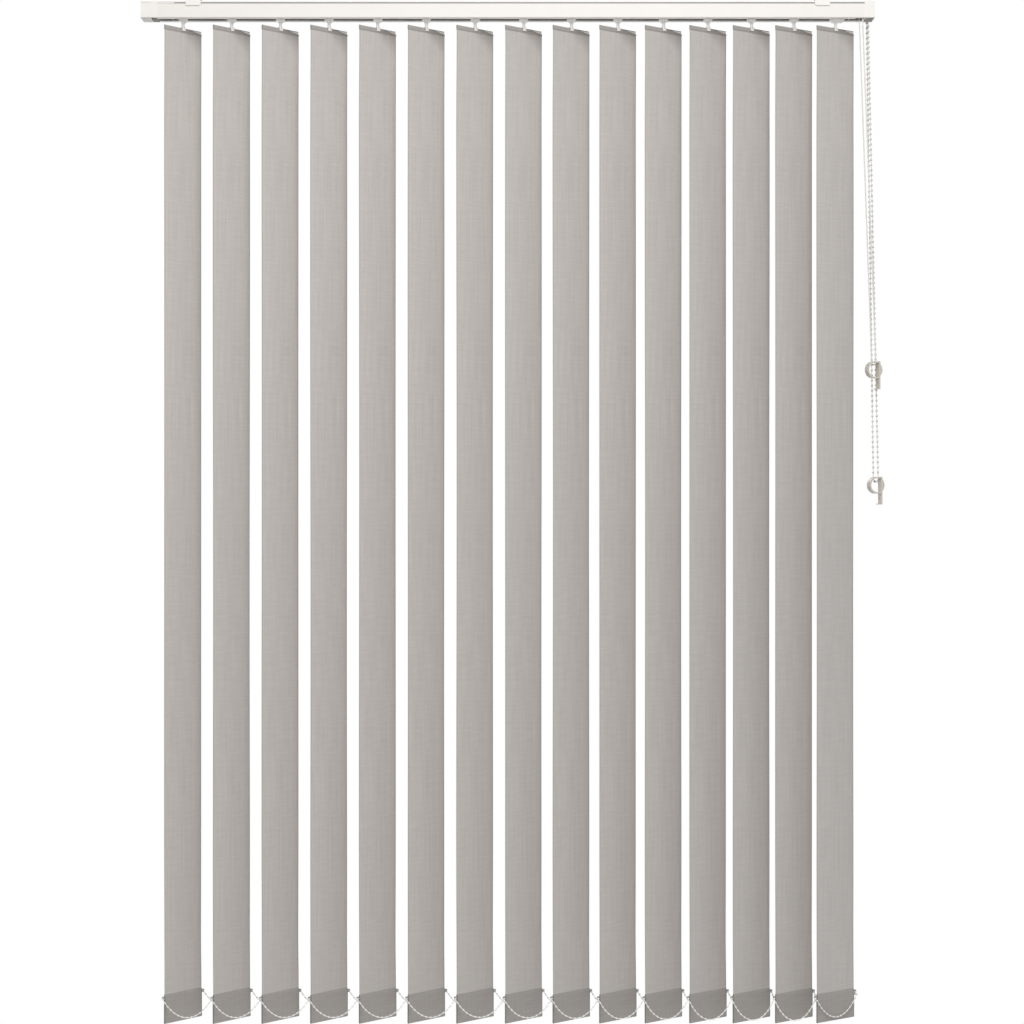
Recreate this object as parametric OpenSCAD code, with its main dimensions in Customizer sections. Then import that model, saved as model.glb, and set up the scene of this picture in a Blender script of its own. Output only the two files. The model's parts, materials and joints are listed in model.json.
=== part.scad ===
// Vertical blind with a cord-and-chain control, drawn in millimetres.
// Origin: middle of the fixing plane on top of the mounting brackets.
// +X runs along the headrail to the control end, -Y faces the room, +Z is up.

/* [Headrail] */
// Length over both end caps
blind_l = 1200; // [1150:10:1300]
// Depth of the rail, front to back
rail_d = 44; // [44:0.5:50]
// Height of the rail
rail_h = 27.5; // [27.5:0.5:32]
// Wall of the extruded rail
rail_wall = 1.2; // [1:0.1:1.4]
// Corner radius of the rail and of the end caps
rail_corner = 1.6; // [1:0.1:1.8]
// Width of the slot along the underside
slot_w = 20; // [19:0.5:22]
// Height of the clip groove below each top edge
groove_h = 2.5; // [2:0.1:3]
// Depth of the clip groove
groove_depth = 0.8; // [0.5:0.1:0.9]
// Height of the bead above the clip groove
groove_drop = 2; // [1.5:0.1:2.5]

/* [Mounting brackets] */
// Width of a bracket along the rail
bracket_w = 24.5; // [20:0.5:30]
// Thickness of the bracket strip
bracket_t = 1.5; // [1.2:0.1:2]
// Room for the screw heads between bracket and rail
screw_room = 2.5; // [2:0.1:4]
// Depth of the front and rear lips below the rail's top
lip_drop = 7.4; // [6:0.1:9]
// Distance from each end of the blind to a bracket's middle
bracket_inset = 86; // [70:1:150]
// Diameter of the fixing screw holes
screw_hole_d = 4.5; // [4:0.1:5]

/* [End caps] */
// Length of the cap at the idler end
idler_cap_l = 27; // [24:0.5:32]
// Length of the cap at the control end
control_cap_l = 17; // [16:0.5:20]
// Wall of the moulded caps
cap_wall = 1.8; // [1.5:0.1:2]
// Reach of the plugs into the rail
plug_l = 23; // [22:0.5:26]

/* [Carriers] */
// Length of a carrier's housing along the rail
carrier_l = 14; // [13:0.5:15]
// Width of the housing, front to back
housing_w = 22; // [21:0.5:22]
// Radius of the running wheels
wheel_r = 5; // [4.5:0.1:5.2]
// Width of the boss below the rail, at its top
boss_w = 14.6; // [13:0.1:15]
// Width of the boss at its foot
boss_foot_w = 7; // [6.5:0.1:9]
// Drop of the boss below the rail
boss_drop = 4; // [3:0.1:5]
// Reach of the lead carrier's boss beyond its hook
lead_reach = 15; // [12:0.5:16]
// Distance from the idler end to the first hook
first_inset = 67; // [63:0.5:75]
// Distance from the control end to the lead hook
lead_inset = 62.3; // [62:0.1:75]
// How much each of the last gaps closes up on the one before it
gap_step = 1.7; // [0:0.1:2]

/* [Vanes] */
// Width of a vane
vane_w = 89; // [80:1:100]
// Length of a vane, top edge to bottom edge
vane_l = 1628; // [800:1:2000]
// Thickness of the cloth
cloth_t = 0.5; // [0.4:0.05:0.6]
// Height of the hem at the top
hem_h = 8; // [7:0.5:12]
// Height of the weight pocket at the bottom
pocket_h = 46; // [40:1:60]
// Angle of the middle vane to the rail as drawn
vane_angle = 48; // [20:1:90]
// How much more the first vane is turned than the middle one, and how much less the last one
vane_fan = 6.5; // [0:0.5:8]
// Gap between the rail's underside and the vanes
vane_drop = 13.5; // [12:0.5:16]
// Thickness of the hanger plate in the hem
hanger_t = 1; // [0.8:0.1:1.2]
// Thickness of the weight in the pocket
weight_t = 1.8; // [1.2:0.1:2]
// Diameter of the hook's stem
stem_d = 5; // [4.5:0.1:5.5]
// Width of the hook's fork across the vane
fork_w = 6.8; // [6:0.1:8]
// Reach of the weight's ears beyond the vane, to the chain pins
ear_reach = 4; // [3.6:0.1:6]

/* [Bottom chains] */
// Extra length of chain in each gap, over the full spacing
chain_slack = 24; // [20:1:36]
// Beads in each hanging run
run_beads = 13; // [9:2:15]
// Diameter of a bead
bead_d = 3; // [2.6:0.1:3.2]
// Diameter of the thread between beads
thread_d = 0.9; // [0.7:0.1:1]

/* [Controls] */
// Diameter of the tilt rod
rod_d = 6; // [5:0.1:6.4]
// Pitch radius of the chain wheel
chain_wheel_r = 8.8; // [8:0.1:9]
// Diameter of the control chain's beads
ball_d = 4; // [3.6:0.1:4.2]
// Diameter of the string between the control chain's beads
string_d = 1.2; // [1:0.1:1.4]
// Spacing of the control chain's beads
ball_pitch = 8.4; // [7:0.1:10]
// Diameter of the traverse cord
cord_d = 2; // [1.6:0.1:2]
// Pitch radius of the cord pulleys
pulley_r = 4; // [3.8:0.1:4.2]
// Height of the upper safety clip's middle, below the fixing plane
cord_clip_drop = 606.5; // [400:0.5:900]
// Height of the lower safety clip's middle, below the fixing plane
chain_clip_drop = 795; // [500:0.5:1200]
// Outer radius of a safety clip's bowl
clip_r = 13.9; // [13.5:0.1:16]
// Thickness of a safety clip's strap
clip_t = 2.5; // [2:0.1:3]
// Width of a safety clip's strap
clip_w = 10; // [8:0.1:10.4]
// Length of a safety clip's leg
clip_leg = 45.7; // [40:0.1:60]

/* [Hidden] */
$fn = 36;
vane_count = 15;
closing_gaps = 7;
eps = 0.01;

// Clearances
run_gap = 0.3;
stem_gap = 0.3;
rod_gap = 0.4;
ring_gap = 0.5;
seat_gap = 0.3;

// Rail levels
rail_top = -(bracket_t + screw_room);
rail_bot = rail_top - rail_h;
floor_z = rail_bot + rail_wall;
ceil_z = rail_top - rail_wall;
left_end = -blind_l / 2;
right_end = blind_l / 2;
rail_x0 = left_end + idler_cap_l;
rail_x1 = right_end - control_cap_l;
inner_half = rail_d / 2 - rail_wall;
neck_half = inner_half - groove_depth;
neck_z = rail_top - groove_drop - groove_h - rail_wall;

// Hooks along the rail: even gaps first, then gaps that close up by one step each
first_x = left_end + first_inset;
lead_x = right_end - lead_inset;
closing_sum = gap_step * closing_gaps * (closing_gaps + 1) / 2;
vane_pitch = (lead_x - first_x + closing_sum) / (vane_count - 1);
function closed(i) = max(0, i - (vane_count - closing_gaps));
function hook_x(i) = first_x + vane_pitch * (i - 1) - gap_step * closed(i) * (closed(i) + 1) / 2;
function vane_turn(i) = vane_angle + vane_fan * (vane_count + 1 - 2 * i) / (vane_count - 1);

// Spacer strips lie in lanes under the rail's ceiling
lanes = 7;
strip_t = 0.2;
strip_w = 7.5;
lane_pitch = strip_t + run_gap;
spacer_l = vane_pitch + 9;
function lane_z(i) = ceil_z - run_gap - strip_t - lane_pitch * (i % lanes);
housing_top = ceil_z - run_gap - lane_pitch * lanes - run_gap;
housing_bot = floor_z + 2 * run_gap;

// Carrier parts
wheel_y0 = housing_w / 2 + 2;
wheel_w = 5.5;
wheel_z = floor_z + run_gap + wheel_r;
axle_r = 2;
trunk_half = slot_w / 2 - 1.5;
boss_bot = rail_bot - boss_drop;
rod_y = 8.2;
rod_rise = 13.3;
rod_z = floor_z + rod_rise;
worm_r = rod_d / 2 + 2;
pinion_r = 3.8;
pinion_h = 5.6;
post_y = 5.2;
post_r = 0.8;

// Vane levels, and half thicknesses of its hem and pocket
vane_top = rail_bot - vane_drop;
vane_bot = vane_top - vane_l;
fit_gap = 0.15;
hem_half = hanger_t / 2 + fit_gap + cloth_t;
pocket_half = weight_t / 2 + fit_gap + cloth_t;
hook_hole_drop = 3;
barb_r = 1.1;
prong_drop = 4.5;
prong_t = 1.15;
yoke_h = 1.7;

// Weight ears and chain pins
pin_u = vane_w / 2 + ear_reach;
pin_r = 0.8;
ring_r = pin_r + ring_gap;
ring_rim = 1.1;
ring_h = 1.4;
lug_h = 2;
lug_r = 2;
weight_top = vane_bot + pocket_h - cloth_t - 1;
lug_z = weight_top - lug_h;
ring_z = lug_z - run_gap - ring_h / 2;
ring_step = bead_d + 2 * run_gap;
head_r = ring_r + 0.3;
head_h = 0.8;
chain_out = ring_r + ring_rim + bead_d / 2 + run_gap;
bead_grip = bead_d / 2 - 0.25;
run_l = vane_pitch + chain_slack;
function turn(p, a) = [p[0] * cos(a) - p[1] * sin(a), p[0] * sin(a) + p[1] * cos(a)];
function ear(i, side) = [hook_x(i), 0] + turn([side * pin_u, 0], vane_turn(i));

// A hanging chain of length l between level ends w apart is a catenary of parameter a
function asinh(t) = ln(t + sqrt(t * t + 1));
function sinh(t) = (exp(t) - exp(-t)) / 2;
function catenary(w, l, lo, hi, n) =
    n == 0 ? (lo + hi) / 2 :
    2 * (lo + hi) / 2 * sinh(w / (lo + hi)) > l ?
        catenary(w, l, (lo + hi) / 2, hi, n - 1) :
        catenary(w, l, lo, (lo + hi) / 2, n - 1);
function sag_point(a, l, s) = [a * asinh(s / a), sqrt(a * a + s * s) - sqrt(a * a + l * l / 4)];

// Cord runs, pulleys and chain wheel
cord_front_y = -16.8;
cord_rear_y = -12.8;
cord_top_z = ceil_z - 4.3;
cord_low_z = cord_top_z - 7;
groove_r = cord_d / 2 + run_gap;
pulley_rim = 1.2;
pulley_w = 3.6;
pulley_pin_r = 1.5;
pulley_bore_r = pulley_pin_r + 0.2;
return_x = left_end + 13;
return_y = (cord_front_y + cord_rear_y) / 2;
return_z = (cord_top_z + cord_low_z) / 2;
return_dy = (cord_rear_y - cord_front_y) / 2;
return_dz = (cord_top_z - cord_low_z) / 2;
return_r = norm([return_dy, return_dz]);
return_tilt = atan2(return_dy, return_dz);
exit_x = right_end - 22.7;
exit_half = 2.3;
front_pulley_x = exit_x + exit_half - pulley_r;
rear_pulley_x = exit_x - exit_half - pulley_r;
front_pulley_z = cord_top_z - pulley_r;
rear_pulley_z = cord_low_z - pulley_r;
cord_hole_r = cord_d / 2 + 0.6;
chain_wheel_x = right_end - 9;
chain_wheel_w = 8;
wheel_rim = 1;
rod_x0 = rail_x0 + 7;
rod_x1 = right_end - cap_wall - 1.2;
bulkhead_t = 1.5;
notch_l = 14;
web_t = 1.2;
web_y = cord_rear_y + pulley_w / 2 + 0.4;
plug_half = neck_half - seat_gap;
plug_top = ceil_z - seat_gap;
plug_bot = floor_z + seat_gap;

// Safety clips
clip_turn = 24;
clip_inner_r = clip_r - clip_t;
clip_leg_x = 7.5;
clip_foot = 4.4;
clip_foot_t = 1.5;
clip_screw_d = 4.2;
clip_screw_drop = 23;
cord_clip_x = 598.6 - 600 + right_end;
cord_clip_y = -15;
chain_clip_x = 605 - 600 + right_end;
chain_clip_y = 8;
cord_clip_z = -cord_clip_drop;
chain_clip_z = -chain_clip_drop;
ball_half = clip_w / 2 + ball_d / 2 + 0.5;
bend_rise = 1.3;
chain_bend_z = chain_clip_z + clip_inner_r + bend_rise;

// Route of the traverse cord, a closed loop: along the rail, over the front pulley, down and
// through the upper safety clip, up to the rear pulley, back along the rail and round the return pulley
bend_half = 6.5;
bend_r = 4;
cord_bend_z = cord_clip_z + clip_inner_r - 3.1;
function clip_point(v, z) = concat([cord_clip_x, cord_clip_y] + turn([0, v], clip_turn), [z]);
function pulley_point(x, y, z, a) = [x + pulley_r * sin(a), y, z + pulley_r * cos(a)];
function return_point(a) = [return_x - return_r * sin(a), return_y, return_z]
    + return_r * cos(a) * [0, -sin(return_tilt), cos(return_tilt)];
quarter = [0, 22.5, 45, 67.5, 90];
cord_route = concat(
    [for (a = quarter) pulley_point(front_pulley_x, cord_front_y, front_pulley_z, a)],
    [clip_point(-bend_half, cord_bend_z + 10)],
    [for (a = quarter) clip_point(-bend_half + bend_r * (1 - cos(a)), cord_bend_z + bend_r * (1 - sin(a)))],
    [for (a = quarter) clip_point(bend_half - bend_r * (1 - sin(a)), cord_bend_z + bend_r * (1 - cos(a)))],
    [clip_point(bend_half, cord_bend_z + 10)],
    [for (a = [90 : -22.5 : 0]) pulley_point(rear_pulley_x, cord_rear_y, rear_pulley_z, a)],
    [for (a = [180 : -22.5 : 0]) return_point(a)]
);

function two_digits(i) = i < 10 ? str("0", i) : str(i);
function vane_name(i) = str("vane_", two_digits(i));
function fittings_name(i) = str("vane_fittings_", two_digits(i));
function carrier_name(i) = i == vane_count ? "lead_carrier" : str("carrier_", two_digits(i));

rail_white = [0.95, 0.94, 0.92];
plastic_white = [0.93, 0.92, 0.9];
chain_white = [0.9, 0.89, 0.86];
cloth_grey = [0.68, 0.66, 0.64];
clip_beige = [0.82, 0.8, 0.76];
rod_metal = [0.75, 0.76, 0.78];

// Draws a Y-Z outline and carries it along X
module along_x(x0, l) {
    translate([x0, 0, 0]) rotate([90, 0, 90]) linear_extrude(l) children();
}

// Draws an X-Z outline and carries it along Y
module along_y(y0, l) {
    translate([0, y0 + l, 0]) rotate([90, 0, 0]) linear_extrude(l) children();
}

// A box given by two opposite corners
module block(lo, hi) {
    translate(lo) cube(hi - lo);
}

// A cylinder along X, and one along Y
module bar_x(x0, x1, y, z, r) {
    translate([x0, y, z]) rotate([0, 90, 0]) cylinder(r = r, h = x1 - x0);
}
module bar_y(y0, y1, x, z, r) {
    translate([x, y0, z]) rotate([-90, 0, 0]) cylinder(r = r, h = y1 - y0);
}

// Turns Z to the line from p to q, with the origin at p
module between(p, q) {
    d = q - p;
    translate(p) rotate([0, acos(d[2] / norm(d)), atan2(d[1], d[0])]) children();
}

// A rectangle with round corners, standing on the given level
module round_rect(w, z0, h, r) {
    translate([-w / 2 + r, z0]) square([w - 2 * r, h]);
    translate([-w / 2, z0 + r]) square([w, h - 2 * r]);
    for (x = [-w / 2 + r, w / 2 - r], z = [z0 + r, z0 + h - r]) translate([x, z]) circle(r);
}

// A flat loop of cloth: a slot-shaped ring
module cloth_loop(half, z0, h) {
    difference() {
        slot_shape(half, z0, h);
        slot_shape(half - cloth_t, z0 + cloth_t, h - 2 * cloth_t);
    }
}
module slot_shape(half, z0, h) {
    translate([-half, z0 + half]) square([2 * half, h - 2 * half]);
    for (z = [z0 + half, z0 + h - half]) translate([0, z]) circle(half);
}

module rail_section() {
    difference() {
        round_rect(rail_d, rail_bot, rail_h, rail_corner);
        translate([-inner_half, floor_z]) square([2 * inner_half, neck_z - floor_z]);
        translate([-neck_half, floor_z]) square([2 * neck_half, ceil_z - floor_z]);
        translate([-slot_w / 2, rail_bot - 1]) square([slot_w, rail_wall + 2]);
        for (side = [-1, 1])
            translate([side * rail_d / 2 - groove_depth, rail_top - groove_drop - groove_h])
                square([2 * groove_depth, groove_h]);
    }
}

module headrail() {
    color(rail_white) difference() {
        along_x(rail_x0, rail_x1 - rail_x0) rail_section();
        // Way out for the traverse cord
        block([rail_x1 - notch_l, -plug_half, rail_bot - 1], [rail_x1 + 1, -slot_w / 4, floor_z + eps]);
    }
}

module bracket_section() {
    reach = rail_d / 2 + seat_gap;
    tongue_z = rail_top - groove_drop;
    translate([-reach - bracket_t, -bracket_t]) square([2 * (reach + bracket_t), bracket_t]);
    for (side = [0, 1]) mirror([side, 0]) {
        translate([reach, rail_top - lip_drop]) square([bracket_t, lip_drop - rail_top]);
        translate([reach - seat_gap - groove_depth / 2, tongue_z - bracket_t])
            square([groove_depth / 2 + seat_gap + eps, bracket_t]);
    }
}

module mounting_bracket(inner) {
    lip_z = rail_top - lip_drop;
    lip_chamfer = lip_drop / 3;
    corner_x = inner * bracket_w / 2;
    chamfer_x = inner * (bracket_w / 2 - lip_chamfer);
    difference() {
        along_x(-bracket_w / 2, bracket_w) bracket_section();
        translate([0, 0, -bracket_t - 1]) cylinder(d = screw_hole_d, h = bracket_t + 2);
        // Chamfer on the lips' inner lower corners
        along_y(-rail_d, 2 * rail_d) polygon([
            [corner_x + inner, lip_z - 1], [corner_x + inner, lip_z + lip_chamfer],
            [corner_x, lip_z + lip_chamfer], [chamfer_x, lip_z], [chamfer_x, lip_z - 1]]);
    }
}

module mounting_brackets() {
    color(plastic_white) for (side = [-1, 1])
        translate([side * (blind_l / 2 - bracket_inset), 0, 0]) mounting_bracket(-side);
}

// Part of an end cap that stands inside the rail: a top plate and a bulkhead that holds the rod
module cap_plug(x_face, dir) {
    x_far = x_face + dir * plug_l;
    x_in = x_face - dir * cap_wall;
    difference() {
        union() {
            block([min(x_in, x_far), -plug_half, plug_top - cap_wall],
                  [max(x_in, x_far), plug_half, plug_top]);
            block([min(x_far, x_far - dir * bulkhead_t), -plug_half, plug_bot],
                  [max(x_far, x_far - dir * bulkhead_t), plug_half, plug_top]);
        }
        bar_x(-blind_l, blind_l, rod_y, rod_z, rod_d / 2 + rod_gap);
        bar_x(-blind_l, blind_l, cord_front_y, cord_top_z, cord_hole_r);
        bar_x(-blind_l, blind_l, cord_rear_y, cord_low_z, cord_hole_r);
    }
}

// Outer shell of an end cap, open towards the rail and partly open below
module cap_shell(x0, l, open_x0, open_x1, end_x0, end_x1) {
    difference() {
        along_x(x0, l) round_rect(rail_d, rail_bot, rail_h, rail_corner);
        block([end_x0, -inner_half, floor_z], [end_x1, inner_half, rail_top - cap_wall]);
        block([open_x0, -inner_half, rail_bot - 1], [open_x1, inner_half, floor_z + 1]);
    }
}

module idler_end_cap() {
    x0 = left_end;
    tongue_l = 28;
    mouth_l = 10;
    web_half = 5;
    front_slot = [2, 16];
    floor_slot_x = [4, 9];
    floor_slot_y = [6, 10];
    color(plastic_white) {
        difference() {
            cap_shell(x0, idler_cap_l, rail_x0 - mouth_l, rail_x0 + 1, x0 + cap_wall, rail_x0 + 1);
            // Slots in the front face and in the floor
            block([x0 + front_slot[0], -rail_d / 2 - 1, rail_top - groove_drop - groove_h],
                  [x0 + front_slot[1], -rail_d / 2 + groove_depth, rail_top - groove_drop]);
            block([x0 + floor_slot_x[0], -rail_d / 2 + floor_slot_y[0], rail_bot - 1],
                  [x0 + floor_slot_x[1], -rail_d / 2 + floor_slot_y[1], floor_z + 1]);
        }
        cap_plug(rail_x0, 1);
        // Tongue that lies in the rail's front groove
        block([rail_x0 - 1, -rail_d / 2, rail_top - groove_drop - groove_h + seat_gap],
              [rail_x0 + tongue_l, -rail_d / 2 + groove_depth, rail_top - groove_drop - seat_gap]);
        // Web and pin for the return pulley
        block([return_x - web_half, web_y, return_z - web_half],
              [return_x + web_half, web_y + web_t, rail_top - 1]);
        pin_room = inner_half + return_y + rail_wall / 2;
        pin_reach = pin_room / cos(return_tilt) - pulley_pin_r * tan(return_tilt);
        web_reach = (web_y + web_t / 2 - return_y) / cos(return_tilt);
        translate([return_x, return_y, return_z]) rotate([return_tilt - 90, 0, 0])
            translate([0, 0, -pin_reach]) cylinder(r = pulley_pin_r, h = pin_reach + web_reach);
    }
}

module control_end_cap() {
    x1 = right_end;
    boss_r = rod_d / 2 + 2.4;
    pulley_bay = rail_x1 - plug_l;
    color(plastic_white) difference() {
        union() {
            cap_shell(rail_x1, control_cap_l, rail_x1 + cap_wall, x1 - cap_wall,
                      rail_x1 + cap_wall, x1 - cap_wall);
            cap_plug(rail_x1, -1);
            // Bearing boss for the rod's end
            bar_x(chain_wheel_x + chain_wheel_w / 2 + run_gap, x1 - eps, rod_y, rod_z, boss_r);
            // Side walls and pins of the pulley bay
            block([pulley_bay, -plug_half, plug_bot], [rail_x1 + eps, -plug_half + 0.8, plug_top]);
            block([pulley_bay, web_y, plug_bot], [rail_x1 + eps, web_y + web_t, plug_top]);
            bar_y(-plug_half, web_y + web_t, front_pulley_x, front_pulley_z, pulley_pin_r);
            bar_y(-plug_half, web_y + web_t, rear_pulley_x, rear_pulley_z, pulley_pin_r);
        }
        bar_x(-blind_l, rod_x1 + run_gap, rod_y, rod_z, rod_d / 2 + rod_gap);
    }
}

// A grooved cord pulley with its axis along Z
module pulley(r) {
    rotate_extrude() difference() {
        translate([pulley_bore_r, -pulley_w / 2]) square([r + pulley_rim - pulley_bore_r, pulley_w]);
        translate([r, 0]) circle(groove_r);
        translate([r, -groove_r]) square([pulley_rim + 1, 2 * groove_r]);
    }
}

module return_pulley() {
    color(plastic_white) translate([return_x, return_y, return_z])
        rotate([return_tilt - 90, 0, 0]) pulley(return_r);
}

module control_pulley_front() {
    color(plastic_white) translate([front_pulley_x, cord_front_y, front_pulley_z])
        rotate([90, 0, 0]) pulley(pulley_r);
}

module control_pulley_rear() {
    color(plastic_white) translate([rear_pulley_x, cord_rear_y, rear_pulley_z])
        rotate([90, 0, 0]) pulley(pulley_r);
}

module chain_wheel() {
    pockets = 6;
    bore_r = rod_d / 2 + 0.05;
    channel_r = ball_d / 2 + run_gap;
    pocket_r = channel_r + 0.5;
    pocket_floor = chain_wheel_r - channel_r - 0.4;
    color(plastic_white) translate([chain_wheel_x, rod_y, rod_z]) rotate([0, 90, 0]) difference() {
        rotate_extrude() difference() {
            translate([bore_r, -chain_wheel_w / 2])
                square([chain_wheel_r + wheel_rim - bore_r, chain_wheel_w]);
            translate([chain_wheel_r, 0]) circle(channel_r);
            translate([chain_wheel_r, -channel_r]) square([wheel_rim + 1, 2 * channel_r]);
        }
        for (k = [0 : pockets - 1]) rotate((k + 0.5) * 360 / pockets) rotate([0, 90, 0])
            translate([0, 0, pocket_floor]) cylinder(r = pocket_r, h = chain_wheel_r);
    }
}

module tilt_rod() {
    flutes = 6;
    flute_r = 0.6;
    color(rod_metal) translate([0, rod_y, rod_z]) along_x(rod_x0, rod_x1 - rod_x0) difference() {
        circle(rod_d / 2);
        for (k = [0 : flutes - 1]) rotate(k * 360 / flutes)
            translate([rod_d / 2 + flute_r / 3, 0]) circle(flute_r);
    }
}

// A closed tube of the given number of sides along a loop of points
module loop_tube(points, r, sides) {
    n = len(points);
    guide = [1, 1, 1];
    function unit(v) = v / norm(v);
    function stretch(k) = unit(points[(k + 1) % n] - points[k]);
    function heading(k) = unit(stretch(k) + stretch((k + n - 1) % n));
    function side_a(k) = unit(cross(guide, heading(k)));
    function side_b(k) = cross(heading(k), side_a(k));
    rings = [for (k = [0 : n - 1], s = [0 : sides - 1])
        points[k] + r * (cos(s * 360 / sides) * side_a(k) + sin(s * 360 / sides) * side_b(k))];
    walls = [for (k = [0 : n - 1], s = [0 : sides - 1])
        [k * sides + s, k * sides + (s + 1) % sides,
         (k + 1) % n * sides + (s + 1) % sides, (k + 1) % n * sides + s]];
    triangles = [for (w = walls, half = [0, 1]) half == 0 ? [w[2], w[1], w[0]] : [w[3], w[2], w[0]]];
    polyhedron(rings, triangles);
}

module traverse_cord() {
    color(chain_white) loop_tube(cord_route, cord_d / 2, 8);
}

// A straight run of a ball chain, with a ball at each end and at equal steps between
module ball_run(p, q) {
    l = norm(q - p);
    balls = round(l / ball_pitch);
    between(p, q) rotate_extrude() intersection() {
        union() {
            translate([0, ball_d / 4]) square([string_d / 2, l - ball_d / 2]);
            for (k = [0 : balls]) translate([0, k * l / balls]) circle(ball_d / 2);
        }
        translate([0, -ball_d]) square([ball_d, l + 2 * ball_d]);
    }
}

// Half a turn of ball chain of radius r in the X-Z plane, whose ends lie inside two runs' end balls
module ball_bend(r, balls) {
    inside = asin(ball_d / 4 / r);
    rotate([90, 0, 0]) {
        rotate(inside) rotate_extrude(angle = 180 - 2 * inside) translate([r, 0]) circle(string_d / 2);
        for (k = [1 : balls]) rotate(k * 180 / (balls + 1)) translate([r, 0, 0]) sphere(ball_d / 2);
    }
}

module control_chain() {
    near = concat([chain_clip_x, chain_clip_y] + turn([0, -ball_half], clip_turn), [chain_bend_z]);
    far = concat([chain_clip_x, chain_clip_y] + turn([0, ball_half], clip_turn), [chain_bend_z]);
    color(chain_white) {
        translate([chain_wheel_x, rod_y, rod_z]) rotate(90) ball_bend(chain_wheel_r, 2);
        translate([chain_clip_x, chain_clip_y, chain_bend_z]) rotate(90 + clip_turn) rotate([180, 0, 0])
            ball_bend(ball_half, 2);
        ball_run([chain_wheel_x, rod_y - chain_wheel_r, rod_z], near);
        ball_run([chain_wheel_x, rod_y + chain_wheel_r, rod_z], far);
    }
}

// Bowl, leg and foot of a clip, in X-Z with the bowl's middle at the origin
module clip_outline() {
    difference() {
        union() {
            circle(clip_r);
            translate([0, -clip_r]) square([clip_leg_x + clip_t, 2 * clip_r]);
        }
        intersection() {
            union() {
                circle(clip_inner_r);
                translate([0, -clip_inner_r]) square(2 * clip_inner_r);
            }
            translate([-clip_r, -clip_inner_r]) square([clip_r + clip_leg_x, 2 * clip_inner_r]);
        }
    }
    translate([clip_leg_x, clip_r - clip_leg]) square([clip_t, clip_leg - clip_r]);
    translate([clip_leg_x - clip_foot, clip_r - clip_leg]) square([clip_foot + clip_t, clip_foot_t]);
}

module safety_clip() {
    difference() {
        along_y(-clip_w / 2, clip_w) clip_outline();
        bar_x(0, clip_leg_x + clip_t + 1, 0, -clip_screw_drop, clip_screw_d / 2);
    }
}

module safety_clips() {
    color(clip_beige) {
        translate([cord_clip_x, cord_clip_y, cord_clip_z]) rotate(clip_turn) safety_clip();
        translate([chain_clip_x, chain_clip_y, chain_clip_z]) rotate(clip_turn) safety_clip();
    }
}

// Running gear and boss of a carrier whose boss reaches from x0 to x1 at its top
module carrier_body(x0, x1) {
    foot = (boss_w - boss_foot_w) / 2;
    wheel_face = 0.8;
    slope = 3;
    color(plastic_white) difference() {
        union() {
            along_x(-carrier_l / 2, carrier_l) polygon([
                [-housing_w / 2, housing_bot], [housing_w / 2, housing_bot],
                [housing_w / 2, housing_top - slope], [housing_w / 2 - slope, housing_top],
                [slope - housing_w / 2, housing_top], [-housing_w / 2, housing_top - slope]]);
            along_y(-trunk_half, 2 * trunk_half) polygon([
                [x0, housing_bot + 1], [x0, rail_bot], [x0 + foot, boss_bot],
                [x1 - foot, boss_bot], [x1, rail_bot], [x1, housing_bot + 1]]);
            bar_x(-carrier_l / 2 - 1, carrier_l / 2 + 1, rod_y, rod_z, worm_r);
            bar_y(-wheel_y0 - 1, wheel_y0 + 1, 0, wheel_z, axle_r);
            for (side = [0, 1]) mirror([0, side, 0]) difference() {
                bar_y(wheel_y0, wheel_y0 + wheel_w, 0, wheel_z, wheel_r);
                bar_y(wheel_y0 + wheel_w - wheel_face, wheel_y0 + wheel_w + 1, 0, wheel_z, wheel_r - 1);
            }
        }
        bar_x(-carrier_l, carrier_l, rod_y, rod_z, rod_d / 2 + rod_gap);
        translate([0, 0, boss_bot - 1]) cylinder(d = stem_d + 2 * stem_gap, h = rod_z - boss_bot + 1);
        translate([0, 0, rod_z - pinion_h / 2 - stem_gap])
            cylinder(r = pinion_r + stem_gap, h = pinion_h + 2 * stem_gap);
    }
}

// Spacer strip that holds the next carrier at full spacing, and the post that it hangs on
module spacer(i) {
    tab = 3;
    color(rod_metal) difference() {
        union() {
            translate([-tab, -strip_w / 2, lane_z(i)]) cube([spacer_l, strip_w, strip_t]);
            translate([-tab, 0, lane_z(i)]) cube([2 * tab, post_y + post_r + 1, strip_t]);
        }
        translate([0, post_y, lane_z(i) - 1]) cylinder(r = post_r + 0.2, h = 2);
    }
    color(plastic_white) translate([0, post_y, housing_top - 1])
        cylinder(r = post_r, h = lane_z(i) + strip_t - housing_top + 1);
}

module carrier(i) {
    translate([hook_x(i), 0, 0]) {
        carrier_body(-boss_w / 2, boss_w / 2);
        spacer(i);
    }
}

// The last carrier: a longer boss, and an arm that grips the traverse cord
module lead_carrier() {
    arm_l = 10;
    arm_in = 4;
    jaw_t = 0.8;
    lead_back = 1.7;
    arm_y = cord_front_y - cord_hole_r - jaw_t;
    arm_z = cord_top_z - cord_hole_r - 1;
    translate([hook_x(vane_count), 0, 0]) {
        carrier_body(-boss_w / 2 - lead_back, lead_reach);
        color(plastic_white) difference() {
            block([-arm_l / 2, arm_y, arm_z], [arm_l / 2, arm_in - housing_w / 2, housing_top - 0.5]);
            bar_x(-arm_l, arm_l, cord_front_y, cord_top_z, cord_hole_r);
            block([-arm_l, arm_y - 1, cord_top_z], [arm_l, cord_front_y, 0]);
        }
    }
}

// Puts a vane's own frame, with X along its width, under hook i
module at_hook(i) {
    translate([hook_x(i), 0, 0]) rotate(vane_turn(i)) children();
}

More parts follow.
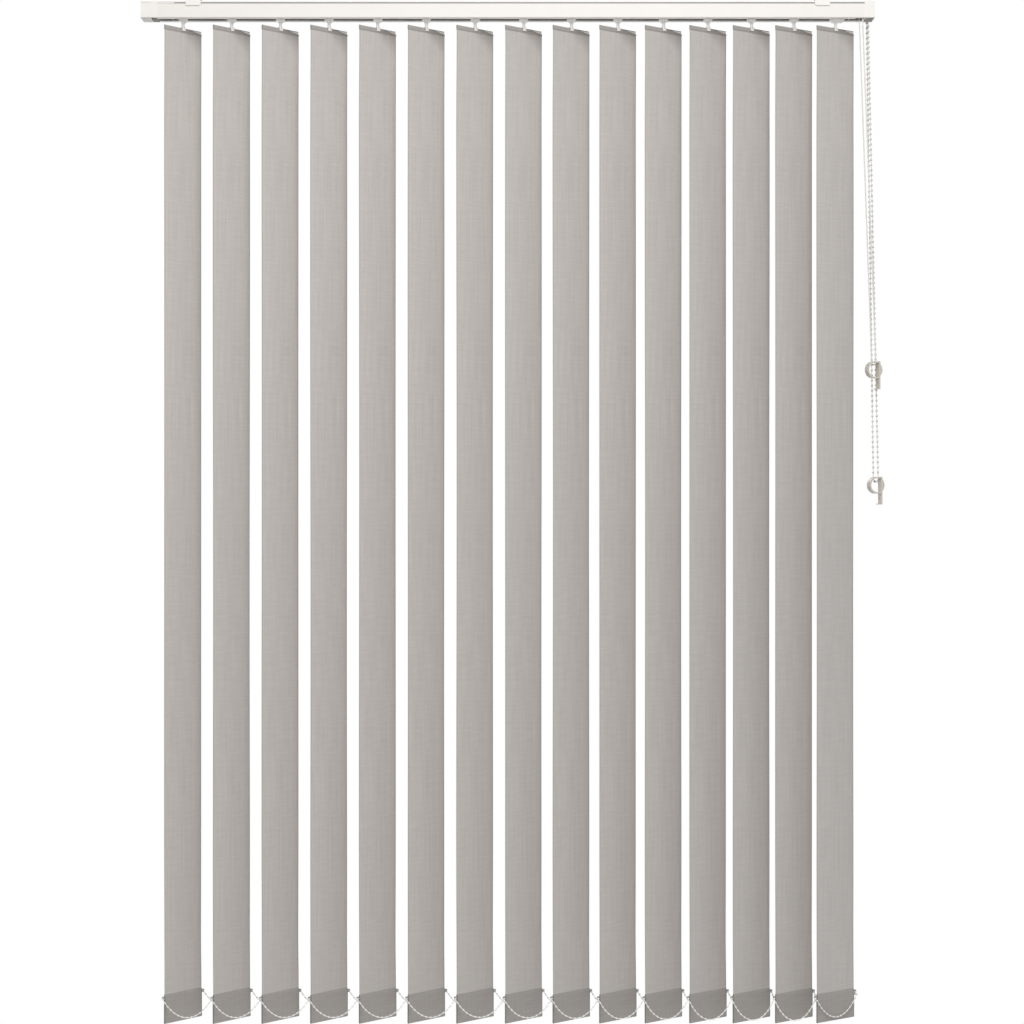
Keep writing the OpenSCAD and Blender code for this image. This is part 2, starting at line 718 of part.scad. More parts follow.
module vane(i) {
    color(cloth_grey) at_hook(i) difference() {
        along_x(-vane_w / 2, vane_w) {
            translate([-cloth_t / 2, vane_bot + pocket_h - cloth_t / 2])
                square([cloth_t, vane_l - pocket_h - hem_h + cloth_t]);
            cloth_loop(hem_half, vane_top - hem_h, hem_h);
            cloth_loop(pocket_half, vane_bot, pocket_h);
        }
        bar_y(-hem_half - 1, hem_half + 1, 0, vane_top - hook_hole_drop, barb_r + stem_gap);
    }
}

// Hook: pinion, stem, yoke and a fork whose barb passes through the hem
module hook() {
    prong_in = hem_half + seat_gap;
    prong_out = prong_in + prong_t;
    color(plastic_white) {
        translate([0, 0, rod_z - pinion_h / 2]) cylinder(r = pinion_r, h = pinion_h);
        translate([0, 0, vane_top + yoke_h - eps]) cylinder(d = stem_d, h = rod_z - vane_top - yoke_h);
        along_x(-fork_w / 2, fork_w) polygon([
            [-prong_out, vane_top - prong_drop], [-prong_in, vane_top - prong_drop],
            [-prong_in, vane_top + seat_gap], [prong_in, vane_top + seat_gap],
            [prong_in, vane_top - prong_drop], [prong_out, vane_top - prong_drop],
            [prong_out, vane_top + yoke_h], [-prong_out, vane_top + yoke_h]]);
        bar_y(-prong_in - eps, prong_in + eps, 0, vane_top - hook_hole_drop, barb_r);
    }
}

module hanger() {
    hanger_w = vane_w - 4;
    color(plastic_white) difference() {
        block([-hanger_w / 2, -hanger_t / 2, vane_top - hem_h + hem_half],
              [hanger_w / 2, hanger_t / 2, vane_top - cloth_t - hem_half / 2]);
        bar_y(-hanger_t, hanger_t, 0, vane_top - hook_hole_drop, barb_r + stem_gap);
    }
}

// Weight plate with an ear at each top corner, and under each ear a pin for the chain rings
module weight(rings) {
    weight_w = vane_w - 4;
    ear_h = 5;
    grip = pin_u - ring_r - ring_rim - run_gap;
    pin_l = ring_h + 2 * run_gap + (rings - 1) * ring_step;
    color(plastic_white) {
        block([-weight_w / 2, -weight_t / 2, vane_bot + pocket_half],
              [weight_w / 2, weight_t / 2, weight_top]);
        for (side = [0, 1]) mirror([side, 0, 0]) {
            block([weight_w / 2 - 1, -weight_t / 2, weight_top - ear_h], [grip, weight_t / 2, weight_top]);
            block([weight_w / 2 - 1, -weight_t / 2, lug_z], [pin_u, weight_t / 2, weight_top]);
            translate([pin_u, 0, lug_z]) cylinder(r = lug_r, h = lug_h);
            translate([pin_u, 0, lug_z - pin_l]) cylinder(r = pin_r, h = pin_l + eps);
            translate([pin_u, 0, lug_z - pin_l - head_h]) cylinder(r = head_r, h = head_h + eps);
        }
    }
}

module vane_fittings(i) {
    at_hook(i) {
        hook();
        hanger();
        weight(i == vane_count ? 2 : 1);
    }
}

// A bead of a bottom chain, turned about the axis across its run
module bottom_bead() {
    rotate([90, 0, 0]) rotate(90) sphere(bead_d / 2);
}

// A ring round a chain pin at p, with a bead held out along direction a
module chain_clip(p, a) {
    translate(p) rotate(a) {
        difference() {
            translate([0, 0, -ring_h / 2]) cylinder(r = ring_r + ring_rim, h = ring_h);
            translate([0, 0, -ring_h]) cylinder(r = ring_r, h = 2 * ring_h);
        }
        bar_x(ring_r + ring_rim / 2, chain_out - bead_grip, 0, 0, thread_d / 2);
        translate([chain_out, 0, 0]) rotate(90) bottom_bead();
    }
}

// Beads and string of a hanging run of length l between two end beads at one level
module hanging_run(p, q, l) {
    w = norm(q - p);
    a = catenary(w, l, w / 20, 50 * w, 40);
    way = (q - p) / w;
    steps = run_beads + 1;
    points = [for (k = [0 : steps])
        let (s = sag_point(a, l, (k / steps - 0.5) * l)) (p + q) / 2 + way * s[0] + [0, 0, s[1]]];
    for (k = [1 : steps - 1]) translate(points[k]) bottom_bead();
    for (k = [0 : steps - 1]) between(points[k], points[k + 1]) translate([0, 0, bead_grip])
        cylinder(d = thread_d, h = norm(points[k + 1] - points[k]) - 2 * bead_grip);
}

module bottom_chain(side) {
    function pin(i) = concat(ear(i, side), [ring_z]);
    function bead(i) = pin(i) + [0, side * chain_out, 0];
    color(chain_white) {
        for (i = [1 : vane_count]) chain_clip(pin(i), 90 * side);
        for (i = [1 : vane_count - 1]) hanging_run(bead(i), bead(i + 1), run_l);
    }
}

module front_bottom_chain() {
    bottom_chain(-1);
}

module back_bottom_chain() {
    bottom_chain(1);
}

// Short run that joins both ears of the last vane across its face
module end_chain_loop() {
    loop_l = 2 * pin_u + chain_slack;
    level = ring_z - ring_step;
    color(chain_white) at_hook(vane_count) {
        for (side = [-1, 1]) chain_clip([side * pin_u, 0, level], -90);
        hanging_run([-pin_u, -chain_out, level], [pin_u, -chain_out, level], loop_l);
    }
}

headrail();
mounting_brackets();
idler_end_cap();
return_pulley();
control_end_cap();
chain_wheel();
control_pulley_front();
control_pulley_rear();
tilt_rod();
traverse_cord();
control_chain();
safety_clips();
front_bottom_chain();
back_bottom_chain();
end_chain_loop();
for (i = [1 : vane_count - 1])
    carrier(i);
lead_carrier();
for (i = [1 : vane_count])
    vane(i);
for (i = [1 : vane_count])
    vane_fittings(i);
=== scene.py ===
"""Dresses a vertical blind: cloth vanes, bead chains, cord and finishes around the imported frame.

All lengths are metres in the frame's own axes: +X along the headrail to the control end,
-Y towards the room, +Z up, with the origin on the fixing plane of the mounting brackets.
"""

from __future__ import annotations

import json
import logging
import math
from dataclasses import dataclass, field
from enum import Enum
from typing import Sequence

import bpy
import numpy as np
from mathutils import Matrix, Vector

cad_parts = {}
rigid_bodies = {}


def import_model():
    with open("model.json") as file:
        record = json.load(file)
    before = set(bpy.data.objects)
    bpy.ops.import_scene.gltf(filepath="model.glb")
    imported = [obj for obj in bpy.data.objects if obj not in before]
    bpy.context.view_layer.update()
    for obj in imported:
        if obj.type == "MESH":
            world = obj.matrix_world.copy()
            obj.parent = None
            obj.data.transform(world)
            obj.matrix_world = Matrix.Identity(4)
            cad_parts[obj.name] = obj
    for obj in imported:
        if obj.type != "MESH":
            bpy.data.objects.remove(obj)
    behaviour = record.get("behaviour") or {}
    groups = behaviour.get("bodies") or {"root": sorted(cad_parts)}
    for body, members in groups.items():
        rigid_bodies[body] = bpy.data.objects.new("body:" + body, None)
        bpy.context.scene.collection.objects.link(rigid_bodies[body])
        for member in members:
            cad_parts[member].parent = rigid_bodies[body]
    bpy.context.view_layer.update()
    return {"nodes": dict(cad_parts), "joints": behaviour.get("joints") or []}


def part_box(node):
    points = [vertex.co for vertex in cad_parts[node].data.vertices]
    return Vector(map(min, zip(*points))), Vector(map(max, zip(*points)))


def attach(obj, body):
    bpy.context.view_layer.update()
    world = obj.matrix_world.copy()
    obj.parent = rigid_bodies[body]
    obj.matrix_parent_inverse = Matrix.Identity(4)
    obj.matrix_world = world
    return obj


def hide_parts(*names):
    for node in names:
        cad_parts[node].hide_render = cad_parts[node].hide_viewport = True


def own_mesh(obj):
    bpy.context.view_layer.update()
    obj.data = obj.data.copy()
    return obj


LOG = logging.getLogger("vertical_blind")
ROOT = "headrail_unit"
VANE_COUNT = 15
MIDDLE_ANGLE = math.radians(48.0)
# Heights of the band on the rail whose tone is darkened as painted shade in the clip groove
FAN = math.radians(6.5)
RAIL_GROOVE_SHADE_BAND = (-0.0085, -0.006)
UP = np.array([0.0, 0.0, 1.0])
TUBE_GUIDE = np.array([0.31, 0.83, 0.46])  # a direction that no cord or chain runs along
CATENARY_LIMITS = (0.05, 50.0)  # of the catenary's parameter, in spans
BISECTIONS = 60


class ChainSide(Enum):
    """Which ears of the vanes a bottom chain hangs on."""

    FRONT = -1
    BACK = 1


class Tone(Enum):
    """Colours of the blind's materials, as sRGB values from 0 to 255."""

    CLOTH = (191, 186, 182)
    # painted shade of the doubled hem and pocket, for the light that two layers hold back
    DENSE_CLOTH = (163, 158, 154)
    # painted shade along the vanes' cut edges
    SEALED_EDGE = (150, 150, 145)
    RAIL = (218, 215, 210)
    # painted shade in the rail's clip groove
    GROOVE = (150, 148, 144)
    MOULDING = (221, 218, 213)
    # white acetal, set brighter than the other mouldings as painted light for the carriers and
    # fittings that lie in shade
    ACETAL = (246, 244, 240)
    BEAD = (238, 236, 232)
    BALL = (206, 203, 198)
    CORD = (222, 219, 213)
    CLIP = (196, 191, 181)
    WEIGHT = (150, 148, 145)
    ROD = (205, 207, 210)
    FLOOR = (240, 240, 240)

    def linear(self) -> tuple[float, float, float, float]:
        """Scene-linear RGBA of this tone, by the sRGB curve."""
        c = np.array(self.value) / 255.0
        lin = np.where(c <= 0.04045, c / 12.92, ((c + 0.055) / 1.055) ** 2.4)
        return (float(lin[0]), float(lin[1]), float(lin[2]), 1.0)


@dataclass(frozen=True)
class Hang:
    """Where and how one vane hangs."""

    number: int
    hook: np.ndarray

    @property
    def label(self) -> str:
        """Number with two digits."""
        return f"{self.number:02d}"

    @property
    def angle(self) -> float:
        """Angle to the rail, which falls evenly from the first vane to the last."""
        return MIDDLE_ANGLE + FAN * (VANE_COUNT + 1 - 2 * self.number) / (VANE_COUNT - 1)

    @property
    def across(self) -> np.ndarray:
        """Unit vector along the vane's width, away from the room."""
        return np.array([math.cos(self.angle), math.sin(self.angle), 0.0])

    @property
    def behind(self) -> np.ndarray:
        """Unit vector square to the vane, away from the room."""
        return np.array([-math.sin(self.angle), math.cos(self.angle), 0.0])


# Mesh helpers


def smoothstep(t: np.ndarray) -> np.ndarray:
    """Rises from 0 to 1 as t goes from 0 to 1, level at both ends: 3 t squared minus 2 t cubed."""
    t = np.clip(t, 0.0, 1.0)
    return t * t * (3.0 - 2.0 * t)


def grid_quads(
    rows: int, cols: int, wrap_rows: bool = False, wrap_cols: bool = False
) -> np.ndarray:
    """Quads of a grid of points numbered row by row.

    Args:
        rows: number of rows of points.
        cols: number of points in a row.
        wrap_rows: joins the last row to the first.
        wrap_cols: joins the last point of a row to its first.

    Returns:
        Index array of shape (number of quads, 4).
    """
    r = np.arange(rows if wrap_rows else rows - 1)[:, None]
    c = np.arange(cols if wrap_cols else cols - 1)[None, :]
    r1, c1 = (r + 1) % rows, (c + 1) % cols
    quads = np.stack([r * cols + c, r * cols + c1, r1 * cols + c1, r1 * cols + c], axis=-1)
    return quads.reshape(-1, 4)


@dataclass
class MeshParts:
    """Points and quads of one piece, gathered from several surfaces."""

    points: list[np.ndarray] = field(default_factory=list)
    quads: list[np.ndarray] = field(default_factory=list)
    count: int = 0

    def add(self, points: np.ndarray, quads: np.ndarray) -> None:
        """Adds a surface, with its quads numbered from its own first point."""
        self.points.append(points.reshape(-1, 3))
        self.quads.append(quads + self.count)
        self.count += self.points[-1].shape[0]

    def add_copies(self, points: np.ndarray, quads: np.ndarray, places: np.ndarray) -> None:
        """Adds one copy of a surface, moved to each of the given places."""
        copies = places[:, None, :] + points[None, :, :]
        steps = np.arange(len(places))[:, None, None] * len(points)
        self.add(copies, (quads[None] + steps).reshape(-1, quads.shape[1]))

    def mesh_object(self, name: str) -> bpy.types.Object:
        """Puts everything gathered into a new smooth-shaded object at the origin."""
        return mesh_object(name, np.concatenate(self.points), np.concatenate(self.quads))


def mesh_object(name: str, points: np.ndarray, quads: np.ndarray) -> bpy.types.Object:
    """Makes a smooth-shaded mesh object at the origin.

    Args:
        name: the piece's name.
        points: array of shape (n, 3).
        quads: array of shape (m, 4).

    Returns:
        The new object, linked to the scene.
    """
    mesh = bpy.data.meshes.new(name)
    mesh.vertices.add(len(points))
    mesh.vertices.foreach_set("co", points.astype(np.float32).ravel())
    mesh.loops.add(quads.size)
    mesh.loops.foreach_set("vertex_index", quads.astype(np.int32).ravel())
    mesh.polygons.add(len(quads))
    starts = np.arange(0, quads.size, quads.shape[1], dtype=np.int32)
    mesh.polygons.foreach_set("loop_start", starts)
    mesh.polygons.foreach_set("use_smooth", np.ones(len(quads), dtype=bool))
    mesh.update(calc_edges=True)
    mesh.validate()
    obj = bpy.data.objects.new(name, mesh)
    bpy.context.scene.collection.objects.link(obj)
    return obj


def set_uv(obj: bpy.types.Object, name: str, uv: np.ndarray) -> None:
    """Gives each corner the UV pair of its point; uv has one row per point."""
    mesh = obj.data
    corner = np.empty(len(mesh.loops), dtype=np.int32)
    mesh.loops.foreach_get("vertex_index", corner)
    layer = mesh.uv_layers.new(name=name)
    layer.data.foreach_set("uv", uv[corner].astype(np.float32).ravel())


def set_point_value(obj: bpy.types.Object, name: str, values: np.ndarray) -> None:
    """Stores one number per point as a mesh attribute."""
    layer = obj.data.attributes.new(name, "FLOAT", "POINT")
    layer.data.foreach_set("value", values.astype(np.float32))


def tube(
    path: np.ndarray, radius: float, sides: int, closed: bool = False
) -> tuple[np.ndarray, np.ndarray]:
    """A round tube: a circle carried along a path, square to the mean of the steps at each point.

    Args:
        path: points of shape (n, 3).
        radius: the tube's radius.
        sides: points around it.
        closed: joins the end to the start.

    Returns:
        Points of shape (n, sides, 3) and the quads.
    """
    step = np.diff(path, axis=0, append=path[:1] if closed else 2 * path[-1:] - path[-2:-1])
    step /= np.linalg.norm(step, axis=1, keepdims=True)
    before = np.roll(step, 1, axis=0)
    if not closed:
        before[0] = step[0]
    heading = step + before
    heading /= np.linalg.norm(heading, axis=1, keepdims=True)
    side = np.cross(TUBE_GUIDE, heading)
    side /= np.linalg.norm(side, axis=1, keepdims=True)
    other = np.cross(heading, side)
    a = np.linspace(0.0, 2.0 * math.pi, sides, endpoint=False)[None, :, None]
    circle = np.cos(a) * side[:, None] + np.sin(a) * other[:, None]
    return path[:, None] + radius * circle, grid_quads(len(path), sides, closed, True)


def ball(radius: float, cuts: int) -> tuple[np.ndarray, np.ndarray]:
    """A ball of quads: a cube's faces, cut into a grid and pushed out to the radius.

    Args:
        radius: the ball's radius.
        cuts: quads along each edge of the cube.

    Returns:
        Points of shape (n, 3) and the quads, with the cube's seams joined.
    """
    t = np.tan(np.linspace(-math.pi / 4, math.pi / 4, cuts + 1))
    u, v = (g.ravel() for g in np.meshgrid(t, t, indexing="ij"))
    one = np.ones_like(u)
    faces = ((one, u, v), (-one, v, u), (v, one, u), (u, -one, v), (u, v, one), (v, u, -one))
    points = np.concatenate([np.stack(face, axis=1) for face in faces])
    points /= np.linalg.norm(points, axis=1, keepdims=True)
    firsts = np.arange(len(faces)) * len(u)
    quads = grid_quads(cuts + 1, cuts + 1)[None] + firsts[:, None, None]
    keys = np.round(points, 6) + 0.0
    _, first, where = np.unique(keys, axis=0, return_index=True, return_inverse=True)
    return radius * points[first], where.ravel()[quads.reshape(-1, 4)][:, ::-1]


def ring(
    inner: float, outer: float, height: float, turns: int
) -> tuple[np.ndarray, np.ndarray]:
    """A flat ring about Z with round edges: a superellipse section turned about the axis.

    Args:
        inner: radius of the hole.
        outer: outer radius.
        height: height along Z.
        turns: points around the axis.

    Returns:
        Points of shape (turns * section, 3) and the quads.
    """
    section, power = 12, 0.6
    a = np.linspace(0.0, 2.0 * math.pi, section, endpoint=False)
    across = np.sign(np.cos(a)) * np.abs(np.cos(a)) ** power * (outer - inner) / 2
    along = np.sign(np.sin(a)) * np.abs(np.sin(a)) ** power * height / 2
    r = (inner + outer) / 2 + across
    turn = np.linspace(0.0, 2.0 * math.pi, turns, endpoint=False)[:, None]
    points = np.stack([r * np.cos(turn), r * np.sin(turn), along + 0.0 * turn], axis=-1)
    return points.reshape(-1, 3), grid_quads(turns, section, True, True)


def catenary(start: np.ndarray, end: np.ndarray, length: float, count: int) -> np.ndarray:
    """A chain hanging between two points of one level, at equal steps along the chain.

    The half span is a * asinh(half length / a), which bisection solves for a.

    Args:
        start: first end.
        end: other end, at the same height.
        length: length of chain between them.
        count: number of points.

    Returns:
        Points of shape (count, 3).
    """
    span = float(np.linalg.norm(end - start))
    low, high = (limit * span for limit in CATENARY_LIMITS)
    for _ in range(BISECTIONS):
        mid = (low + high) / 2.0
        if 2.0 * mid * math.sinh(span / (2.0 * mid)) > length:
            low = mid
        else:
            high = mid
    s = np.linspace(-length / 2.0, length / 2.0, count)
    along = low * np.arcsinh(s / low)
    drop = np.sqrt(low * low + s * s) - math.hypot(low, length / 2.0)
    return (start + end) / 2.0 + along[:, None] * (end - start) / span + drop[:, None] * UP


# Shader helpers


class Shader:
    """Adds nodes and links to one node tree."""

    def __init__(self, tree: bpy.types.NodeTree) -> None:
        """Keeps the tree that nodes are added to."""
        self.tree = tree

    def node(self, kind: str, **settings: object) -> bpy.types.Node:
        """Adds a node of the given type and sets its properties."""
        made = self.tree.nodes.new(kind)
        for key, value in settings.items():
            setattr(made, key, value)
        return made

    def feed(self, target: bpy.types.NodeSocket, value: object) -> None:
        """Links a socket to the target, or sets the target to a constant."""
        if isinstance(value, bpy.types.NodeSocket):
            self.tree.links.new(value, target)
        else:
            target.default_value = value

    def group(self, tree: bpy.types.NodeTree, values: dict[str, object]) -> dict:
        """Outputs of a node group by name, with its inputs fed by name."""
        made = self.node("ShaderNodeGroup", node_tree=tree)
        for key, value in values.items():
            self.feed(made.inputs[key], value)
        return {socket.name: socket for socket in made.outputs}

    def place(self) -> bpy.types.NodeSocket:
        """Object coordinates."""
        return self.node("ShaderNodeTexCoord").outputs["Object"]

    def axes(self, vector: object) -> list[bpy.types.NodeSocket]:
        """The three parts of a vector."""
        made = self.node("ShaderNodeSeparateXYZ")
        self.feed(made.inputs[0], vector)
        return list(made.outputs)

    def math(self, operation: str, *values: object) -> bpy.types.NodeSocket:
        """Result of a Math node on one, two or three values."""
        made = self.node("ShaderNodeMath", operation=operation)
        for target, value in zip(made.inputs, values):
            self.feed(target, value)
        return made.outputs[0]

    def humps(self, value: object, rate: float) -> bpy.types.NodeSocket:
        """Absolute sine of a value times a rate."""
        return self.math("ABSOLUTE", self.math("SINE", self.math("MULTIPLY", value, rate)))

    def mix(self, factor: object, a: object, b: object) -> bpy.types.NodeSocket:
        """Colour a where factor is 0 and b where it is 1."""
        made = self.node("ShaderNodeMix", data_type="RGBA")
        self.feed(made.inputs["Factor"], factor)
        self.feed(made.inputs[6], a)
        self.feed(made.inputs[7], b)
        return made.outputs[2]

    def scaled(self, colour: object, factor: object) -> bpy.types.NodeSocket:
        """Colour times a factor."""
        made = self.node("ShaderNodeVectorMath", operation="SCALE")
        self.feed(made.inputs[0], colour)
        self.feed(made.inputs["Scale"], factor)
        return made.outputs[0]

    def ramp(
        self, value: object, low: float, high: float, to: Sequence[float] = (0.0, 1.0)
    ) -> bpy.types.NodeSocket:
        """Value mapped from low..high to the given limits, clamped."""
        made = self.node("ShaderNodeMapRange", clamp=True)
        for target, v in zip(made.inputs, (value, low, high, *to)):
            self.feed(target, v)
        return made.outputs[0]

    def noise(self, vector: object, scale: object, detail: float = 2.0) -> bpy.types.NodeSocket:
        """Noise around 0.5 at the given scale."""
        made = self.node("ShaderNodeTexNoise")
        self.feed(made.inputs["Vector"], vector)
        self.feed(made.inputs["Scale"], scale)
        made.inputs["Detail"].default_value = detail
        return made.outputs[0]

    def stretched_noise(
        self, vector: object, scale: Sequence[float], detail: float = 2.0
    ) -> bpy.types.NodeSocket:
        """Noise around 0.5 with a scale for each axis."""
        made = self.node("ShaderNodeMapping")
        self.feed(made.inputs["Vector"], vector)
        made.inputs["Scale"].default_value = scale
        return self.noise(made.outputs[0], 1.0, detail)

    def bump(self, height: object, distance: float, strength: float) -> bpy.types.NodeSocket:
        """Normal of a surface raised by height times distance."""
        made = self.node("ShaderNodeBump")
        self.feed(made.inputs["Height"], height)
        made.inputs["Distance"].default_value = distance
        made.inputs["Strength"].default_value = strength
        return made.outputs[0]

    def skin(self, bsdf: bpy.types.Node, colour: object, roughness: object, normal: object) -> None:
        """Feeds a shader the colour, roughness and normal that vary over a surface."""
        self.feed(bsdf.inputs["Base Color"], colour)
        self.feed(bsdf.inputs["Roughness"], roughness)
        self.feed(bsdf.inputs["Normal"], normal)


def new_group(
    name: str, inputs: dict[str, str], outputs: dict[str, str]
) -> tuple[Shader, dict, dict]:
    """Starts a shader node group.

    Args:
        name: the group's name.
        inputs: socket type of each input, by name.
        outputs: socket type of each output, by name.

    Returns:
        A Shader on the group, its input sockets and its output sockets, both by name.
    """
    tree = bpy.data.node_groups.new(name, "ShaderNodeTree")
    for key, kind in inputs.items():
        tree.interface.new_socket(key, in_out="INPUT", socket_type=kind)
    for key, kind in outputs.items():
        tree.interface.new_socket(key, in_out="OUTPUT", socket_type=kind)
    shader = Shader(tree)
    source, sink = shader.node("NodeGroupInput"), shader.node("NodeGroupOutput")
    return shader, {k: source.outputs[k] for k in inputs}, {k: sink.inputs[k] for k in outputs}


def moulded_grain_group() -> bpy.types.NodeTree:
    """Grain of moulded or painted surfaces: a slow colour drift, an uneven gloss and fine pits."""
    drift_scale, drift_detail, gloss_scale = 24.0, 3.0, 130.0
    value, colour = "NodeSocketFloat", "NodeSocketColor"
    s, i, o = new_group(
        "moulded_grain",
        {"Colour": colour, "Drift": value, "Gloss": value, "Unevenness": value, "Pit Scale": value},
        {"Colour": colour, "Roughness": value, "Height": value})
    place = s.place()
    drift = s.math("SUBTRACT", s.noise(place, drift_scale, drift_detail), 0.5)
    s.feed(o["Colour"], s.scaled(i["Colour"], s.math("MULTIPLY_ADD", drift, i["Drift"], 1.0)))
    spread = s.math("SUBTRACT", s.noise(place, gloss_scale), 0.5)
    s.feed(o["Roughness"], s.math("MULTIPLY_ADD", spread, i["Unevenness"], i["Gloss"]))
    s.feed(o["Height"], s.noise(place, i["Pit Scale"]))
    return s.tree


def plain_weave_group() -> bpy.types.NodeTree:
    """A plain weave: yarns of one pitch that pass over and under each other by turns.

    In every other cell the lengthwise yarn is on top, and in the rest the crosswise one. A yarn is
    round across its width, and highest at the middle of the cell that it crosses.
    """
    crown, cross_share = 0.4, 0.45
    streak_scale, cross_scale = (260.0, 10.0, 1.0), (26.0, 330.0, 1.0)
    value = "NodeSocketFloat"
    s, i, o = new_group(
        "plain_weave", {"Vector": "NodeSocketVector", "Pitch": value},
        {"Height": value, "Slub": value})
    across, along = (s.math("DIVIDE", part, i["Pitch"]) for part in s.axes(i["Vector"])[:2])
    turn = s.math("ADD", s.math("FLOOR", across), s.math("FLOOR", along))
    over = s.math("PINGPONG", turn, 1.0)
    warp, weft = s.humps(across, math.pi), s.humps(along, math.pi)
    warp_top = s.math("MULTIPLY", warp, s.math("MULTIPLY_ADD", weft, crown, 1.0 - crown))
    weft_top = s.math("MULTIPLY", weft, s.math("MULTIPLY_ADD", warp, crown, 1.0 - crown))
    rest = s.math("MULTIPLY", weft_top, s.math("SUBTRACT", 1.0, over))
    s.feed(o["Height"], s.math("MULTIPLY_ADD", warp_top, over, rest))
    streak = s.math("MULTIPLY", s.stretched_noise(i["Vector"], streak_scale), 1.0 - cross_share)
    cross = s.stretched_noise(i["Vector"], cross_scale)
    s.feed(o["Slub"], s.math("MULTIPLY_ADD", cross, cross_share, streak))
    return s.tree


@dataclass(frozen=True)
class Groups:
    """The node groups that several finishes share."""

    grain: bpy.types.NodeTree
    weave: bpy.types.NodeTree

    @staticmethod
    def make() -> "Groups":
        """Builds each group once."""
        return Groups(moulded_grain_group(), plain_weave_group())


def new_material(name: str) -> tuple[bpy.types.Material, Shader, bpy.types.Node]:
    """A new material, a Shader on its tree and its Principled BSDF."""
    material = bpy.data.materials.new(name)
    material.use_nodes = True
    return material, Shader(material.node_tree), material.node_tree.nodes["Principled BSDF"]


@dataclass(frozen=True, kw_only=True)
class Moulded:
    """A moulded or painted finish of one tone with fine grain."""

    name: str
    tone: Tone
    gloss: float
    unevenness: float = 0.12
    drift: float = 0.05
    pit_scale: float = 1800.0
    pit_depth: float = 0.00004
    pit_strength: float = 0.6
    coat: float = 0.0

    def colour(self, s: Shader) -> object:
        """The colour under the grain, as a constant or a socket."""
        return self.tone.linear()

    def material(self, groups: Groups) -> bpy.types.Material:
        """Makes the material."""
        material, s, bsdf = new_material(self.name)
        grain = s.group(groups.grain, {
            "Colour": self.colour(s), "Drift": self.drift, "Gloss": self.gloss,
            "Unevenness": self.unevenness, "Pit Scale": self.pit_scale})
        pits = s.bump(grain["Height"], self.pit_depth, self.pit_strength)
        s.skin(bsdf, grain["Colour"], grain["Roughness"], pits)
        bsdf.inputs["Coat Weight"].default_value = self.coat
        return material


@dataclass(frozen=True, kw_only=True)
class Banded(Moulded):
    """A moulded or painted finish with a second tone between two heights: painted shade in the
    rail's clip groove, the weights' grey on the fittings.
    """

    band_tone: Tone
    band: tuple[float, float]
    drift: float = 0.06
    pit_depth: float = 0.00003
    pit_strength: float = 0.5

    def colour(self, s: Shader) -> object:
        """The band's tone between its heights, and the other tone elsewhere."""
        height = s.axes(s.place())[2]
        above = s.math("GREATER_THAN", height, self.band[0])
        below = s.math("LESS_THAN", height, self.band[1])
        inside = s.math("MULTIPLY", above, below)
        return s.mix(inside, self.tone.linear(), self.band_tone.linear())


@dataclass(frozen=True)
class VaneCloth:
    """Grey plain-woven cloth with painted shade: darker where it is doubled, along its cut edges
    and in the weave's hollows.
    """

    name: str
    width: float
    pitch: float = 0.0006
    edge: tuple[float, float] = (0.0022, 0.00066)
    edge_share: float = 0.75
    slub: float = 0.42
    weave_shade: float = 0.18
    mean_height: float = 0.45
    relief: float = 0.00012
    relief_strength: float = 0.5
    roughness: tuple[float, float] = (0.95, 0.8)
    sheen: float = 0.15
    sheen_roughness: float = 0.5
    specular: float = 0.25

    def material(self, groups: Groups) -> bpy.types.Material:
        """Makes the material, which reads the cloth's UV map and its doubled attribute."""
        material, s, bsdf = new_material(self.name)
        uv = s.node("ShaderNodeUVMap", uv_map="cloth").outputs[0]
        weave = s.group(groups.weave, {"Vector": uv, "Pitch": self.pitch})
        doubled = s.node("ShaderNodeAttribute", attribute_name="doubled").outputs["Fac"]
        # Painted shade: the doubled hem and pocket take a darker tone, for the light that two
        # layers of cloth hold back.
        tone = s.mix(doubled, Tone.CLOTH.linear(), Tone.DENSE_CLOTH.linear())
        # Painted shade along both cut edges: the tone darkens over the outer two millimetres of the
        # width.
        half = self.width / 2
        off_middle = s.math("ABSOLUTE", s.math("SUBTRACT", s.axes(uv)[0], half))
        low, high = (half - margin for margin in self.edge)
        edge_shade_mask = s.ramp(off_middle, low, high, (0.0, self.edge_share))
        tone = s.mix(edge_shade_mask, tone, Tone.SEALED_EDGE.linear())
        drift = s.math("SUBTRACT", weave["Slub"], 0.5)
        # Painted shade in the weave: the yarns' crowns lighter, the hollows between them darker.
        raised = s.math("SUBTRACT", weave["Height"], self.mean_height)
        shade = s.math("MULTIPLY_ADD", drift, self.slub, 1.0)
        shade = s.math("MULTIPLY_ADD", raised, self.weave_shade, shade)
        s.skin(bsdf, s.scaled(tone, shade), s.ramp(weave["Height"], 0.0, 1.0, self.roughness),
               s.bump(weave["Height"], self.relief, self.relief_strength))
        bsdf.inputs["Sheen Weight"].default_value = self.sheen
        bsdf.inputs["Sheen Roughness"].default_value = self.sheen_roughness
        bsdf.inputs["Specular IOR Level"].default_value = self.specular
        return material


